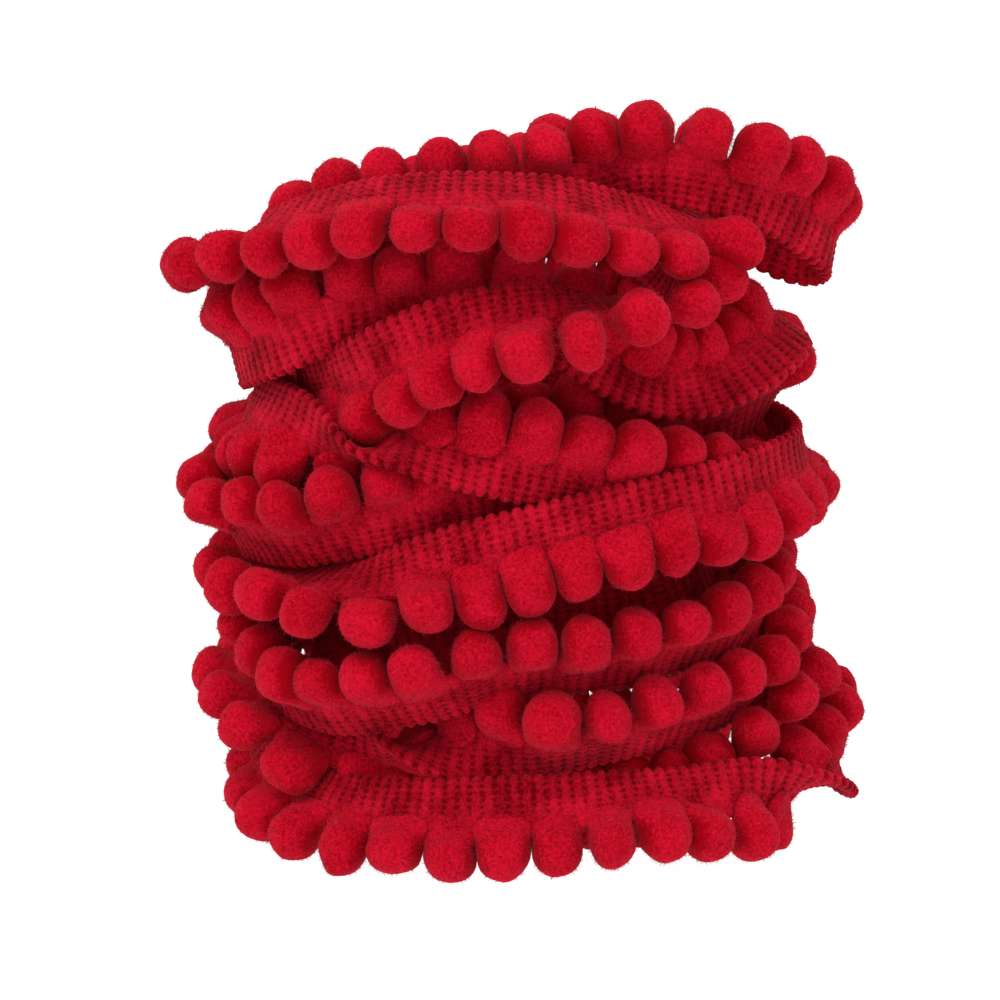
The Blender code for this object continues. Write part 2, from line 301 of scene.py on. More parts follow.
def settled_path():
    """Places along the trim, in pitches, and the eased path there."""
    drawn = drawn_path()
    places = along_pitches(drawn)
    pompoms = int(places[-1])
    at = (np.arange(BEADS_PER_PITCH * pompoms) + 0.5) / BEADS_PER_PITCH
    path = ease_apart(read_off(places, drawn, at))
    path[:, :2] -= (MIDDLE_X, MIDDLE_Y)
    return at, path


# ---------------------------------------------------------------------------
# The knitted tape: one flat band of ribbed knitting, 11 mm wide and about 2 mm thick.
# Ribs of stitches run across it, 2.5 mm apart, with narrow slots between them, sunk in the relief and
# darkened with painted shade, and the yarn turns back at the plain edge in a row of bead-like loops.
# ---------------------------------------------------------------------------

READINGS_PER_PITCH = 16  # of the winding's line, before it is cut at the ribs
RIB_PITCH = 2.5 * MM
CUTS_PER_RIB = 4
STITCH_ROWS = 8
CUTS_PER_ROW = 2
HALF_THICKNESS = 0.76 * MM  # in the slots, between the ribs
RIB_HEIGHT = 0.42 * MM
RIB_ROUNDNESS = 0.7  # power of a rib's wave: lower is flatter on top, with a narrower slot
STITCH_SHARE = 0.50  # of a rib's height, lost between two stitches
STITCH_ROUNDNESS = 0.8
EDGE_POWER = 10  # higher keeps the tape's thickness nearer to its edges
EDGE_SHARE = 0.25  # of the thickness, left at the very edge
LOOP_REACH = 0.70 * MM  # how far the loops stand out at the plain edge
LOOP_SWELL = 0.38 * MM
LOOP_PLACE = -0.93  # in half widths from the tape's middle, as are the two below
LOOP_SPAN = 0.12
LOOP_TIP = -0.97
CURL = 0.7 * MM  # how far the plain edge curls off the flat, at most
CURL_LENGTHS = (29, 47, 17)  # of its waves along the trim, in ribs
CURL_SEED = 3
WAVE = 0.35 * MM
WAVE_LENGTHS = (8.3, 13.1, 22.7)
WAVE_SEED = 4
TAPE_SMOOTHING = 40  # running averages over those readings
TAPE_PIECES = 2  # lengths, as one mesh would be too heavy
FELTED_FROM = 0.55  # in half widths towards the pompom edge: past this the pompoms' felt covers the tape
FELTED_OVER = 0.6


def slow_waves(ribs, lengths, seed):
    """Uneven waves along the trim, from -1 to 1: the mean of sines of the given lengths, in ribs, with
    random phases."""
    phases = np.random.default_rng(seed).uniform(0, 2 * np.pi, len(lengths))
    waves = [np.sin(2 * np.pi * ribs / length + phase) for length, phase in zip(lengths, phases)]
    return np.mean(waves, axis=0)


def band_frames(at, path):
    """Fine cuts along the whole trim, the same number to each rib. Returns their places in ribs, their
    middles, and units across the tape and off its face."""
    readings = np.arange(np.ceil(at[0] * READINGS_PER_PITCH), at[-1] * READINGS_PER_PITCH)
    fine = soften(read_off(at, path, readings / READINGS_PER_PITCH), TAPE_SMOOTHING)
    length = np.append(0, np.cumsum(np.linalg.norm(np.diff(fine[:, :3], axis=0), axis=1)))
    ribs = np.arange(0, length[-1] / RIB_PITCH, 1 / CUTS_PER_RIB)
    cut = read_off(length, fine, ribs * RIB_PITCH)
    along, across = across_tape(cut)
    face = np.cross(along, across)
    face /= np.linalg.norm(face, axis=1)[:, None]
    return ribs, cut[:, :3], across, face


def rib_wave(ribs):
    """From 0 in the slot between two ribs to 1 on a rib: an absolute cosine to a power."""
    return np.abs(np.cos(np.pi * ribs)) ** RIB_ROUNDNESS


def stitch_relief(ribs, rows):
    """Height of the knitting, 0 in a slot to 1 on a stitch: rounded ribs across the tape times
    rounded stitches along each rib."""
    stitch = np.abs(np.cos(np.pi * rows)) ** STITCH_ROUNDNESS
    return rib_wave(ribs)[:, None] * (1 - STITCH_SHARE + STITCH_SHARE * stitch[None, :])


def tape_surface(ribs, middle, across, face):
    """A closed ring at each cut: up one face, round the pompom edge, down the other and round the plain
    edge. Each face lies off the middle by half the thickness, tapered at both edges, plus the knitting's
    relief and the loops' bell-shaped swell. Returns the points, and for each place round a ring its row of
    stitches and its place across the tape, from the plain edge, -1, to the pompom edge, 1."""
    places = np.linspace(-1, 1, STITCH_ROWS * CUTS_PER_ROW + 1)
    rows = (places + 1) / 2 * STITCH_ROWS - 0.5
    rib = rib_wave(ribs)[:, None]
    taper = np.sqrt(np.clip(1 - np.abs(places) ** EDGE_POWER, 0, 1)) * (1 - EDGE_SHARE) + EDGE_SHARE
    swell = LOOP_SWELL * np.exp(-(((places - LOOP_PLACE) / LOOP_SPAN) ** 2))
    half = HALF_THICKNESS * taper + RIB_HEIGHT * stitch_relief(ribs, rows) + swell * rib
    edge = places * TAPE_WIDTH / 2 - (places < LOOP_TIP) * LOOP_REACH * rib
    curl = CURL * slow_waves(ribs, CURL_LENGTHS, CURL_SEED)[:, None] * np.clip(-places, 0, 1) ** 2
    wave = WAVE * slow_waves(ribs, WAVE_LENGTHS, WAVE_SEED)[:, None]
    lean = curl + wave
    across, face, middle = across[:, None], face[:, None], middle[:, None]
    right = middle + across * edge[..., None] + face * (lean + half)[..., None]
    wrong = middle + across * edge[..., None] + face * (lean - half)[..., None]
    points = np.concatenate([right, wrong[:, ::-1]], axis=1)
    return points, np.concatenate([rows, rows[::-1]]), np.concatenate([places, places[::-1]])


def ring_faces(rings, points_round):
    """Quads between neighbouring rings of a closed tube, as an array of corner numbers."""
    ring, corner = np.indices((rings - 1, points_round)).reshape(2, -1)
    turned = (corner + 1) % points_round
    base, ahead = ring * points_round, (ring + 1) * points_round
    return np.column_stack([base + corner, ahead + corner, ahead + turned, base + turned])


def mesh_piece(name, points, faces, material, **attributes):
    """A smooth-shaded piece of the trim, with float attributes on its points. Faces are corner numbers,
    and a tuple of face arrays of different sizes is joined."""
    groups = faces if isinstance(faces, tuple) else (faces,)
    mesh = bpy.data.meshes.new(name)
    mesh.from_pydata(points.reshape(-1, 3), [], [row for group in groups for row in group.tolist()])
    for key, values in attributes.items():
        layer = mesh.attributes.new(key, "FLOAT", "POINT")
        layer.data.foreach_set("value", np.ravel(values).astype(np.float32))
    mesh.shade_smooth()
    mesh.materials.append(material)
    piece = bpy.data.objects.new(name, mesh)
    bpy.context.scene.collection.objects.link(piece)
    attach(piece, "root")
    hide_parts("pompom_trim")
    return piece


PATCH_SCALE = 120.0  # of the uneven dye, in waves a metre
NOISE_DETAIL = 3.0
NOISE_ROUGHNESS = 0.65


def mottle_group():
    """Uneven dye and nap, used by every yarn here: two sizes of soft noise in Object coordinates.
    Puts out a mask from 0 to 1 and a height for a bump."""
    group = bpy.data.node_groups.new("yarn_mottle", "ShaderNodeTree")
    for name in ("Patch Scale", "Nap Scale", "Nap Share"):
        group.interface.new_socket(name, in_out="INPUT", socket_type="NodeSocketFloat")
    for name in ("Mask", "Height"):
        group.interface.new_socket(name, in_out="OUTPUT", socket_type="NodeSocketFloat")
    nodes, links = group.nodes, group.links
    given, out = nodes.new("NodeGroupInput"), nodes.new("NodeGroupOutput")
    place = nodes.new("ShaderNodeTexCoord").outputs["Object"]
    noises = []
    for scale in ("Patch Scale", "Nap Scale"):
        noise = nodes.new("ShaderNodeTexNoise")
        noise.inputs["Detail"].default_value = NOISE_DETAIL
        noise.inputs["Roughness"].default_value = NOISE_ROUGHNESS
        links.new(place, noise.inputs["Vector"])
        links.new(given.outputs[scale], noise.inputs["Scale"])
        noises.append(noise.outputs["Fac"])
    mix = nodes.new("ShaderNodeMix")
    links.new(given.outputs["Nap Share"], mix.inputs["Factor"])
    links.new(noises[0], mix.inputs["A"])
    links.new(noises[1], mix.inputs["B"])
    links.new(mix.outputs["Result"], out.inputs["Mask"])
    links.new(noises[1], out.inputs["Height"])
    return group


MOTTLE = mottle_group()

SLOT_SHARPNESS = 4.0
GAP_SHARPNESS = 3.0
SLOT_SHARE = 0.20  # of a pit's painted shade, all along the slot that it lies in
SLOT_DEPTH = 0.30  # of the whole relief, as are the two below
GAP_DEPTH = 0.30
PIT_DEPTH = 0.40


def knit_group():
    """The knitted face, read from the rib and the row that a point lies in, whole at a stitch's middle:
    a small pit where four stitches meet, a shallow slot between ribs and a shallower one between rows.
    Plain is 1 on bare knitting and 0 where felt covers it. Puts out the pits, and faintly the slots, as a
    mask of painted shade, and a height that is 1 on a stitch."""
    group = bpy.data.node_groups.new("knit_pits_and_shade", "ShaderNodeTree")
    for name in ("Rib", "Row", "Plain"):
        group.interface.new_socket(name, in_out="INPUT", socket_type="NodeSocketFloat")
    for name in ("Pit Shade", "Height"):
        group.interface.new_socket(name, in_out="OUTPUT", socket_type="NodeSocketFloat")
    nodes, links = group.nodes, group.links
    given, out = nodes.new("NodeGroupInput"), nodes.new("NodeGroupOutput")

    def worked(operation, *terms):
        node = nodes.new("ShaderNodeMath")
        node.operation = operation
        for socket, term in zip(node.inputs, terms):
            if isinstance(term, bpy.types.NodeSocket):
                links.new(term, socket)
            else:
                socket.default_value = term
        return node.outputs[0]

    def between(place, sharpness):
        wave = worked("ABSOLUTE", worked("SINE", worked("MULTIPLY", place, np.pi)))
        return worked("POWER", wave, sharpness)

    slot = between(given.outputs["Rib"], SLOT_SHARPNESS)
    gap = between(given.outputs["Row"], GAP_SHARPNESS)
    # The pits, and faintly the slots, make a mask of painted shade for the red; they also lower the height.
    deepest_at_gaps = worked("MULTIPLY_ADD", gap, 1 - SLOT_SHARE, SLOT_SHARE)
    pit_shade = worked("MULTIPLY", worked("MULTIPLY", slot, deepest_at_gaps), given.outputs["Plain"])
    whole = worked("MULTIPLY_ADD", gap, -GAP_DEPTH, 1.0)
    worn = worked("MULTIPLY_ADD", slot, -SLOT_DEPTH, whole)
    links.new(pit_shade, out.inputs["Pit Shade"])
    links.new(worked("MULTIPLY_ADD", pit_shade, -PIT_DEPTH, worn), out.inputs["Height"])
    return group


KNIT_PITS_AND_SHADE = knit_group()

NAP_RELIEF = 0.42 * MM
SHEEN_ROUGHNESS = 0.35
SHEEN_TINT = (1.0, 0.10, 0.16, 1.0)
SHINE = 0.10
SHINE_TINT = (1.0, 0.15, 0.20, 1.0)
DEEP_AT = 0.36  # of tone, painted shade and mottle added: where the red is deepest, and where lightest
LIGHT_AT = 0.66


def yarn_material(name, deep, light, roughness, sheen, bump, nap_scale, nap_share, pit_shade=0.0):
    """Dyed yarn: the mottle runs between a deep and a light red, the tone on the points, with painted
    crease shade on the pompoms, lightens or deepens it, and the nap's height feeds the bump. Sheen is the
    light in the fuzz. With pit shade, the knitted face deepens the red in its pits and along its slots by
    that share, as painted shade, and is added to the bump."""
    material = bpy.data.materials.new(name)
    material.use_nodes = True
    nodes, links = material.node_tree.nodes, material.node_tree.links
    shader = nodes["Principled BSDF"]
    shader.inputs["Roughness"].default_value = roughness
    shader.inputs["Sheen Weight"].default_value = sheen
    shader.inputs["Sheen Roughness"].default_value = SHEEN_ROUGHNESS
    shader.inputs["Sheen Tint"].default_value = SHEEN_TINT
    shader.inputs["Specular IOR Level"].default_value = SHINE
    shader.inputs["Specular Tint"].default_value = SHINE_TINT
    mottle = nodes.new("ShaderNodeGroup")
    mottle.node_tree = MOTTLE
    mottle.inputs["Patch Scale"].default_value = PATCH_SCALE
    mottle.inputs["Nap Scale"].default_value = nap_scale
    mottle.inputs["Nap Share"].default_value = nap_share
    # The points' own tone; on the pompoms it also carries painted shade in the creases.
    read = nodes.new("ShaderNodeAttribute")
    read.attribute_name = "tone"
    tone = nodes.new("ShaderNodeMath")
    tone.operation = "ADD"
    links.new(read.outputs["Fac"], tone.inputs[0])
    links.new(mottle.outputs["Mask"], tone.inputs[1])
    shade, height = tone.outputs[0], mottle.outputs["Height"]
    if pit_shade:
        knit = nodes.new("ShaderNodeGroup")
        knit.node_tree = KNIT_PITS_AND_SHADE
        for socket in ("Rib", "Row", "Plain"):
            place = nodes.new("ShaderNodeAttribute")
            place.attribute_name = socket.lower()
            links.new(place.outputs["Fac"], knit.inputs[socket])
        # Painted shade: the red is darkened in the knit's pits and along its slots.
        pit_shading, raise_stitches = nodes.new("ShaderNodeMath"), nodes.new("ShaderNodeMath")
        pit_shading.operation, raise_stitches.operation = "MULTIPLY_ADD", "ADD"
        pit_shading.inputs[1].default_value = -pit_shade
        links.new(knit.outputs["Pit Shade"], pit_shading.inputs[0])
        links.new(shade, pit_shading.inputs[2])
        links.new(knit.outputs["Height"], raise_stitches.inputs[0])
        links.new(height, raise_stitches.inputs[1])
        shade, height = pit_shading.outputs[0], raise_stitches.outputs[0]
    ramp = nodes.new("ShaderNodeValToRGB")
    for stop, place, red in zip(ramp.color_ramp.elements, (DEEP_AT, LIGHT_AT), (deep, light)):
        stop.position = place
        stop.color = (*red, 1.0)
    links.new(shade, ramp.inputs["Fac"])
    links.new(ramp.outputs["Color"], shader.inputs["Base Color"])
    relief = nodes.new("ShaderNodeBump")
    relief.inputs["Strength"].default_value = bump
    relief.inputs["Distance"].default_value = NAP_RELIEF
    links.new(height, relief.inputs["Height"])
    links.new(relief.outputs["Normal"], shader.inputs["Normal"])
    return material


KNITTED = yarn_material(
    "knitted_red_yarn",
    deep=(0.17, 0.0006, 0.004),
    light=(0.76, 0.009, 0.034),
    roughness=0.80,
    sheen=0.30,
    bump=0.9,
    nap_scale=1900.0,
    nap_share=0.5,
    # painted shade in the knit's pits and slots
    pit_shade=0.16,
)

trim_at, trim_path = settled_path()
band_ribs, band_middle, band_across, band_face = band_frames(trim_at, trim_path)
band_points, band_rows, band_places = tape_surface(band_ribs, band_middle, band_across, band_face)
band_points[..., 2] = np.maximum(band_points[..., 2], 0)
band_plain = ((FELTED_FROM - band_places) / FELTED_OVER).clip(0, 1)

# Two lengths, the second starting at the cut where the first ends. Each is closed at its ends.
points_round = band_points.shape[1]
first_ring = np.arange(points_round)
for number, stretch in enumerate(np.array_split(np.arange(len(band_ribs)), TAPE_PIECES)):
    if number:
        stretch = np.insert(stretch, 0, stretch[0] - 1)
    walls = ring_faces(len(stretch), points_round)
    caps = np.array([first_ring[::-1], first_ring + (len(stretch) - 1) * points_round])
    tape = mesh_piece(
        f"tape_{number + 1}",
        band_points[stretch],
        (walls, caps),
        KNITTED,
        rib=np.repeat(band_ribs[stretch], points_round),
        row=np.tile(band_rows, len(stretch)),
        plain=np.tile(band_plain, len(stretch)),
    )


# ---------------------------------------------------------------------------
# The pompoms: felted balls of the same yarn, knitted in along the tape's edge. Each has
# a short fuzzy root on the tape, swells into a ball a little longer than it is wide, and
# is pressed flat where it meets a neighbour, in its own row or in the next turn.
# ---------------------------------------------------------------------------

# along: place from the ball's centre, away from the tape, in mm
# wide, thick: half widths along the row and off the tape's face, in mm
Girth = namedtuple("Girth", "along wide thick")
GIRTHS = (
    Girth(-7.6, 0.0, 0.0),
    Girth(-7.4, 4.2, 0.9),
    Girth(-6.4, 5.4, 1.25),
    Girth(-5.2, 5.6, 1.9),
    Girth(-4.0, 5.4, 3.2),
    Girth(-2.5, 5.3, 4.6),
    Girth(-0.4, 5.4, 5.5),
    Girth(1.6, 5.1, 5.2),
    Girth(3.4, 4.1, 4.2),
    Girth(4.7, 2.5, 2.5),
    Girth(5.3, 0.0, 0.0),
)
POMPOM_SPACING = 9.9 * MM
FIRST_POMPOM = POMPOM_SPACING / 6  # from the trim's start
END_MARGIN = POMPOM_SPACING / 3
BALL_RINGS = 18
BALL_SPOKES = 24
LUMPS = ((1.2, 0.26), (2.3, 0.16), (4.1, 0.08))  # waves round a ball, and their height in mm
NEAR_CENTRE = 0.1 * MM  # nearer than this a point has no direction from the centre
SIZE_SPREAD = 0.09
DYE_SPREAD = 0.07
DYE_SEED = 5
SHIFT_SPREAD = np.array([0.45, 0.20, 0.90]) * MM  # out from the tape, along the row, off the face
SPREAD_LIMIT = 2  # the most of a spread that any pompom has
POMPOM_SEED = 13
NEIGHBOURS = 9  # that a pompom may be pressed by
PRESS = 0.40  # what is left of a pompom past the plane where it meets its neighbour
CREASE = -0.05 * MM  # from there to the plane halfway between the two; below 0, past it
CREASE_REACH = 1.5 * MM  # how far the painted shade of a crease spreads
CREASE_SHADE = 0.30  # painted shade in a crease, at its darkest: a share of the range from light to deep red
ROOTED = -3.5 * MM  # nearer the tape than this a pompom isn't pressed by its neighbours
ROOT_FADE = 3.0 * MM  # over this, from there outwards, the creases' painted shade deepens
ROUNDING = 2  # how many times the pressed balls are blended
POMPOM_PIECES = 3


def pompom_frames(places, middle, across):
    """Every pompom's centre and three units: out from the tape, along the row and off the face, from the
    tape's places in metres. The row's way is taken from the pompoms on either side."""
    where = np.arange(places[0] + FIRST_POMPOM, places[-1] - END_MARGIN, POMPOM_SPACING)
    foot = np.column_stack([np.interp(where, places, column) for column in middle.T])
    way = np.column_stack([np.interp(where, places, column) for column in across.T])
    way /= np.linalg.norm(way, axis=1)[:, None]
    centre = foot + way * POMPOM_REACH
    row = np.gradient(centre, axis=0)
    row -= way * np.sum(row * way, axis=1)[:, None]
    row /= np.linalg.norm(row, axis=1)[:, None]
    return centre, way, row, np.cross(row, way)


def profile_reach(along, wide):
    """How far each girth lies from the root along a pompom's outline: the running sum of the steps."""
    return np.concatenate([[0], np.cumsum(np.hypot(np.diff(along), np.diff(wide)))])


def ball_surfaces(centre, way, row, off):
    """One grid of points to each pompom: oval rings whose two half widths follow the table of girths, with
    soft lumps, each lump a sine of the direction from the centre along a random line."""
    rng = np.random.default_rng(POMPOM_SEED)
    count = len(centre)
    along, wide, thick = np.array(GIRTHS).T * MM
    reach = profile_reach(along, wide)
    ring_at = np.linspace(0, reach[-1], BALL_RINGS)
    along, wide, thick = (smooth(reach, column, ring_at) for column in (along, wide, thick))
    wide[[0, -1]] = thick[[0, -1]] = 0
    angle = np.arange(BALL_SPOKES) * 2 * np.pi / BALL_SPOKES
    size = 1 + SIZE_SPREAD * rng.standard_normal((count, 3)).clip(-SPREAD_LIMIT, SPREAD_LIMIT)
    shape = np.stack([
        np.broadcast_to(along[:, None], (BALL_RINGS, BALL_SPOKES)),
        wide[:, None] * np.cos(angle),
        thick[:, None] * np.sin(angle),
    ], axis=-1)
    shape = shape[None] * size[:, None, None]
    length = np.linalg.norm(shape, axis=-1, keepdims=True).clip(NEAR_CENTRE)
    outward = shape / length
    for waves, height in LUMPS:
        line = rng.standard_normal((count, 1, 1, 3))
        line /= np.linalg.norm(line, axis=-1, keepdims=True)
        phase = rng.uniform(0, 2 * np.pi, (count, 1, 1))
        lump = np.sin(waves * np.sum(outward * line, axis=-1) * np.pi + phase)
        shape = shape + outward * (lump * height * MM)[..., None]
    axes = np.stack([way, row, off], axis=1)
    shift = SHIFT_SPREAD * rng.standard_normal((count, 3)).clip(-SPREAD_LIMIT, SPREAD_LIMIT)
    place = centre + np.einsum("ck,ckl->cl", shift, axes)
    points = place[:, None, None] + np.einsum("cijk,ckl->cijl", shape, axes)
    return place, points


def press_together(place, way, points):
    """Flatten each ball against its nearest neighbours: past the plane halfway to a neighbour only a small
    share of its depth is left. Also returns how deep each point lies in a crease, falling off as a bell
    with its distance from that plane and fading towards the root: a mask for painted shade in the creases."""
    apart = np.linalg.norm(place[:, None] - place[None], axis=2)
    np.fill_diagonal(apart, np.inf)
    nearest = np.argsort(apart, axis=1)[:, :NEIGHBOURS]
    out = np.einsum("cijl,cl->cij", points - place[:, None, None], way)
    rooted = out < ROOTED
    crease_shade = np.zeros(points.shape[:3])
    for column in nearest.T:
        toward = place[column] - place
        distance = np.linalg.norm(toward, axis=1)
        toward /= distance[:, None]
        depth = np.einsum("cijl,cl->cij", points - place[:, None, None], toward)
        over = depth - (distance / 2 - CREASE)[:, None, None]
        crease_shade = np.maximum(crease_shade, np.exp(-((over.clip(max=0) / CREASE_REACH) ** 2)))
        over = np.where(rooted, 0, over.clip(0)) * (1 - PRESS)
        points = points - toward[:, None, None] * over[..., None]
    return points, crease_shade * ((out - ROOTED) / ROOT_FADE).clip(0, 1)


def round_off(points, times):
    """Blend every point of the balls' grids with its four neighbours, so that no pressed edge is sharp: a
    third of the point itself and a sixth of each neighbour."""
    for _ in range(times):
        inner = points[:, 1:-1]
        beside = np.roll(inner, 1, axis=2) + np.roll(inner, -1, axis=2)
        inner = (2 * inner + beside + points[:, :-2] + points[:, 2:]) / 6
        points = np.concatenate([points[:, :1], inner, points[:, -1:]], axis=1)
    return points


def ring_share():
    """What share of a ball's surface lies between its root and each of its rings: the running sum of
    ring length times the step to the next ring."""
    along, wide, thick = np.array(GIRTHS).T
    reach = profile_reach(along, wide)
    length = np.interp(np.linspace(0, reach[-1], BALL_RINGS), reach, wide + thick)
    share = np.cumsum(length)
    return (share - share[0]) / (share[-1] - share[0])


def pole_quads(rings, spokes):
    """Faces of one ball: quads between rings, and triangles at the two ends, where a ring is one point."""
    ring, spoke = np.indices((rings - 3, spokes)).reshape(2, -1)
    turned = (spoke + 1) % spokes
    base, ahead = 1 + ring * spokes, 1 + (ring + 1) * spokes
    quads = np.column_stack([base + spoke, base + turned, ahead + turned, ahead + spoke])
    spoke = np.arange(spokes)
    turned = (spoke + 1) % spokes
    last = 1 + (rings - 2) * spokes
    root = np.column_stack([np.zeros(spokes, int), 1 + turned, 1 + spoke])
    tip = np.column_stack([np.full(spokes, last), last - spokes + spoke, last - spokes + turned])
    return quads, np.vstack([root, tip])


def closed_balls(points):
    """The balls' grids as lists of points, with each end ring drawn into the mean of its points."""
    count = len(points)
    inner = points[:, 1:-1].reshape(count, -1, points.shape[-1])
    ends = points[:, (0, -1)].mean(axis=2)
    return np.concatenate([ends[:, :1], inner, ends[:, 1:]], axis=1)


FELTED = yarn_material(
    "felted_red_yarn",
    deep=(0.36, 0.0010, 0.007),
    light=(0.76, 0.008, 0.034),
    roughness=0.95,
    sheen=0.42,
    bump=1.0,
    nap_scale=1700.0,
    nap_share=0.75,
)

ball_centre, ball_way, ball_row, ball_off = pompom_frames(band_ribs * RIB_PITCH, band_middle, band_across)
ball_place, ball_points = ball_surfaces(ball_centre, ball_way, ball_row, ball_off)
ball_points, ball_crease_shade = press_together(ball_place, ball_way, ball_points)
ball_points = round_off(ball_points, ROUNDING)
ball_points[..., 2] = np.maximum(ball_points[..., 2], 0)
ball_dye = np.random.default_rng(DYE_SEED).uniform(-0.5, 0.5, len(ball_place))
# Random dye for each pompom, less painted shade in the creases between pompoms.
ball_tone = ball_dye[:, None, None] * DYE_SPREAD - ball_crease_shade * CREASE_SHADE

ball_quads, ball_ends = pole_quads(BALL_RINGS, BALL_SPOKES)
for number, stretch in enumerate(np.array_split(np.arange(len(ball_place)), POMPOM_PIECES)):
    balls = closed_balls(ball_points[stretch])
    tone = closed_balls(ball_tone[stretch][..., None])
    starts = (np.arange(len(stretch)) * balls.shape[1])[:, None, None]
    faces = tuple((starts + group[None]).reshape(-1, group.shape[1]) for group in (ball_quads, ball_ends))
    mesh_piece(f"pompoms_{number + 1}", balls, faces, FELTED, tone=tone)


# ---------------------------------------------------------------------------
# The nap: short loose fibres that stand off the felted pompoms and, sparser, off the
# knitted tape. Each is one thin blade, rooted just under the surface that it grows from
# and shaded like it, in a lighter red that is painted sheen.
# ---------------------------------------------------------------------------

FIBRES_PER_POMPOM = 900
TAPE_FIBRES = 36000  # on the whole tape
FIBRE_LENGTHS = (0.3 * MM, 1.1 * MM)
TAPE_FIBRE_LENGTHS = (0.2 * MM, 0.6 * MM)
FIBRE_WIDTH = 0.13 * MM
BURIED = 0.8  # crease depth past which no fibre shows
FIBRE_ROOT = 0.10 * MM  # below the surface
MOST_LEAN = 1.8  # along the surface, to 1 off it
FIBRE_TONES = 0.15
NAP_PIECES = 3
NAP_SEED = 23
SHORT_OF_END = 0.9999  # keeps a random place off the last ring or spoke


def surface_samples(points, grids, rings, spokes):
    """Places and normals on closed grids of points, read off between the grid's corners at fractional rings
    and spokes: a weighted mean of four corners, and the cross product of the two edges there. Every sample
    keeps its place in the list, so no grid may have an edge of no length where it is read."""
    low, back = np.floor(rings).astype(int), np.floor(spokes).astype(int)
    t, s = (rings - low)[:, None], (spokes - back)[:, None]
    ahead = (back + 1) % points.shape[2]
    a, b = points[grids, low, back], points[grids, low, ahead]
    c, d = points[grids, low + 1, back], points[grids, low + 1, ahead]
    place = (1 - t) * ((1 - s) * a + s * b) + t * ((1 - s) * c + s * d)
    normal = np.cross(c + d - a - b, b + d - a - c)
    return place, normal / np.linalg.norm(normal, axis=1).clip(1e-12)[:, None]


def fibre_blades(place, normal, lengths, rng):
    """A triangle to each fibre: its base lies just under the surface, and its tip leans off the normal by a
    random share along the surface."""
    count = len(place)
    lean = rng.standard_normal((count, 3))
    lean -= normal * np.sum(lean * normal, axis=1)[:, None]
    lean /= np.linalg.norm(lean, axis=1)[:, None]
    way = normal + lean * rng.uniform(0, MOST_LEAN, (count, 1))
    way /= np.linalg.norm(way, axis=1)[:, None]
    side = np.cross(way, rng.standard_normal((count, 3)))
    side *= FIBRE_WIDTH / 2 / np.linalg.norm(side, axis=1)[:, None]
    root = place - normal * FIBRE_ROOT
    tip = place + way * rng.uniform(*lengths, (count, 1))
    blades = np.stack([root - side, root + side, tip], axis=1)
    blades[..., 2] = np.maximum(blades[..., 2], 0)
    return blades


def nap_piece(name, blades, normals, tone):
    """Blades as one piece, shaded as the surface that they grow from: each takes its root's normal."""
    faces = np.arange(len(blades) * 3).reshape(-1, 3)
    piece = mesh_piece(name, blades, faces, NAP, tone=np.repeat(tone, 3))
    piece.data.normals_split_custom_set_from_vertices(np.repeat(normals, 3, axis=0))


# Painted sheen: the fibres' reds are lighter and pinker than the felt's, as a glow of lit fuzz at the
# edges.
NAP = yarn_material(
    "loose_red_fibres_painted_sheen",
    deep=(0.42, 0.0015, 0.009),
    light=(0.95, 0.030, 0.080),
    roughness=0.95,
    sheen=0.42,
    bump=0.0,
    nap_scale=1700.0,
    nap_share=0.8,
)

# On the pompoms, spread evenly over their surface but for the creases
nap_rng = np.random.default_rng(NAP_SEED)
nap_ball = np.repeat(np.arange(len(ball_place)), FIBRES_PER_POMPOM)
nap_share = nap_rng.uniform(0, 1, len(nap_ball))
nap_ring = np.interp(nap_share, ring_share(), np.arange(BALL_RINGS)) * SHORT_OF_END
nap_spoke = nap_rng.uniform(0, BALL_SPOKES * SHORT_OF_END, len(nap_ball))
in_the_air = ball_crease_shade[nap_ball, nap_ring.astype(int), nap_spoke.astype(int)] < BURIED
nap_grid = (nap_ball[in_the_air], nap_ring[in_the_air], nap_spoke[in_the_air])
nap_place, nap_normal = surface_samples(ball_points, *nap_grid)
nap_blades = fibre_blades(nap_place, nap_normal, FIBRE_LENGTHS, nap_rng)
nap_tone = nap_rng.uniform(-FIBRE_TONES, FIBRE_TONES, len(nap_place))
for number, stretch in enumerate(np.array_split(np.arange(len(nap_place)), NAP_PIECES)):
    nap_piece(f"pompom_nap_{number + 1}", nap_blades[stretch], nap_normal[stretch], nap_tone[stretch])

# On the tape, at random cuts and places round it. Its rings run the other way, so the normals are turned.
hair_cut = nap_rng.uniform(0, (len(band_ribs) - 1) * SHORT_OF_END, TAPE_FIBRES)
hair_spoke = nap_rng.uniform(0, points_round * SHORT_OF_END, TAPE_FIBRES)
hair_grid = (np.zeros(TAPE_FIBRES, int), hair_cut, hair_spoke)
hair_place, hair_normal = surface_samples(band_points[None], *hair_grid)
hair_blades = fibre_blades(hair_place, -hair_normal, TAPE_FIBRE_LENGTHS, nap_rng)
nap_piece("tape_nap", hair_blades, -hair_normal, np.zeros(TAPE_FIBRES))


# ---------------------------------------------------------------------------
# The room: a white floor that runs out of sight, soft light from above and in front, a
# little more from the left, and a long lens a step away, slightly above the roll.
# ---------------------------------------------------------------------------

FLOOR_SIZE = 60.0
FLOOR_COLOUR = (0.12, 0.12, 0.12, 1.0)
FLOOR_ROUGHNESS = 0.9
FLOOR_GLOW = 0.98
ROOM_GLOW = 0.80
WHITE = (1.0, 1.0, 1.0, 1.0)
AIM_HEIGHT = 0.0657  # a little under the middle of the roll's height
CAMERA_TARGET = np.array([-MM - MIDDLE_X, -MIDDLE_Y, AIM_HEIGHT])
CAMERA_DISTANCE = 0.9
CAMERA_ELEVATION = np.radians(12.0)
CAMERA_LENS = 162.0
SENSOR = 36.0
FAR_CLIP = 100.0


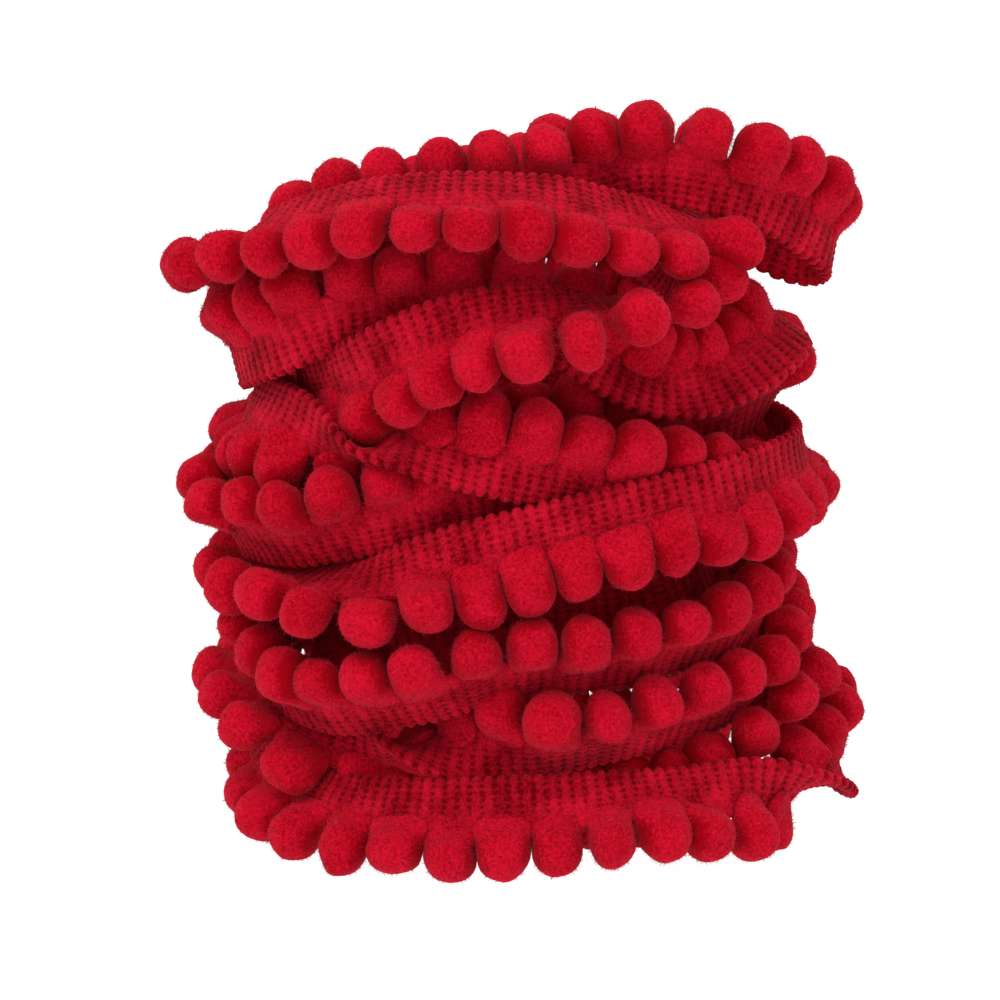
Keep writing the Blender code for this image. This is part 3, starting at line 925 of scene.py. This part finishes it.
def white_floor():
    """A flat white sheet that gives off a little light of its own, as a light table does."""
    mesh = bpy.data.meshes.new("floor")
    half = FLOOR_SIZE / 2
    corners = [(-half, -half, 0), (half, -half, 0), (half, half, 0), (-half, half, 0)]
    mesh.from_pydata(corners, [], [(0, 1, 2, 3)])
    material = bpy.data.materials.new("white_floor")
    material.use_nodes = True
    shader = material.node_tree.nodes["Principled BSDF"]
    shader.inputs["Base Color"].default_value = FLOOR_COLOUR
    shader.inputs["Roughness"].default_value = FLOOR_ROUGHNESS
    shader.inputs["Emission Color"].default_value = WHITE
    shader.inputs["Emission Strength"].default_value = FLOOR_GLOW
    mesh.materials.append(material)
    floor = bpy.data.objects.new("floor", mesh)
    bpy.context.scene.collection.objects.link(floor)


def point_at(thing, start, target):
    """Place a lamp or camera with its view axis towards the target and its top side up."""
    back = (start - target) / np.linalg.norm(start - target)
    right = np.cross((0, 0, 1), back)
    right /= np.linalg.norm(right)
    up = np.cross(back, right)
    matrix = np.eye(4)
    matrix[:3, 0], matrix[:3, 1], matrix[:3, 2], matrix[:3, 3] = right, up, back, start
    thing.matrix_world = matrix.T


def soft_light(name, start, size, power):
    """A square lamp aimed at the roll's middle: start and size in metres, power in watts."""
    lamp = bpy.data.lights.new(name, "AREA")
    lamp.shape = "SQUARE"
    lamp.size = size
    lamp.energy = power
    light = bpy.data.objects.new(name, lamp)
    bpy.context.scene.collection.objects.link(light)
    point_at(light, np.array(start), CAMERA_TARGET)


white_floor()
soft_light("key_light", (-0.40, -0.60, 1.10), 0.6, 5.5)
soft_light("top_light", (0.10, 0.25, 1.20), 0.9, 2.0)

world = bpy.data.worlds.new("white_room")
world.use_nodes = True
world.node_tree.nodes["Background"].inputs["Color"].default_value = WHITE
world.node_tree.nodes["Background"].inputs["Strength"].default_value = ROOM_GLOW
bpy.context.scene.world = world
bpy.context.scene.view_settings.view_transform = "Standard"

lens = bpy.data.cameras.new("camera")
lens.sensor_width = SENSOR
lens.lens = CAMERA_LENS
lens.clip_end = FAR_CLIP
camera = bpy.data.objects.new("camera", lens)
bpy.context.scene.collection.objects.link(camera)
view_way = np.array([0.0, -np.cos(CAMERA_ELEVATION), np.sin(CAMERA_ELEVATION)])
point_at(camera, CAMERA_TARGET + CAMERA_DISTANCE * view_way, CAMERA_TARGET)
bpy.context.scene.camera = camera
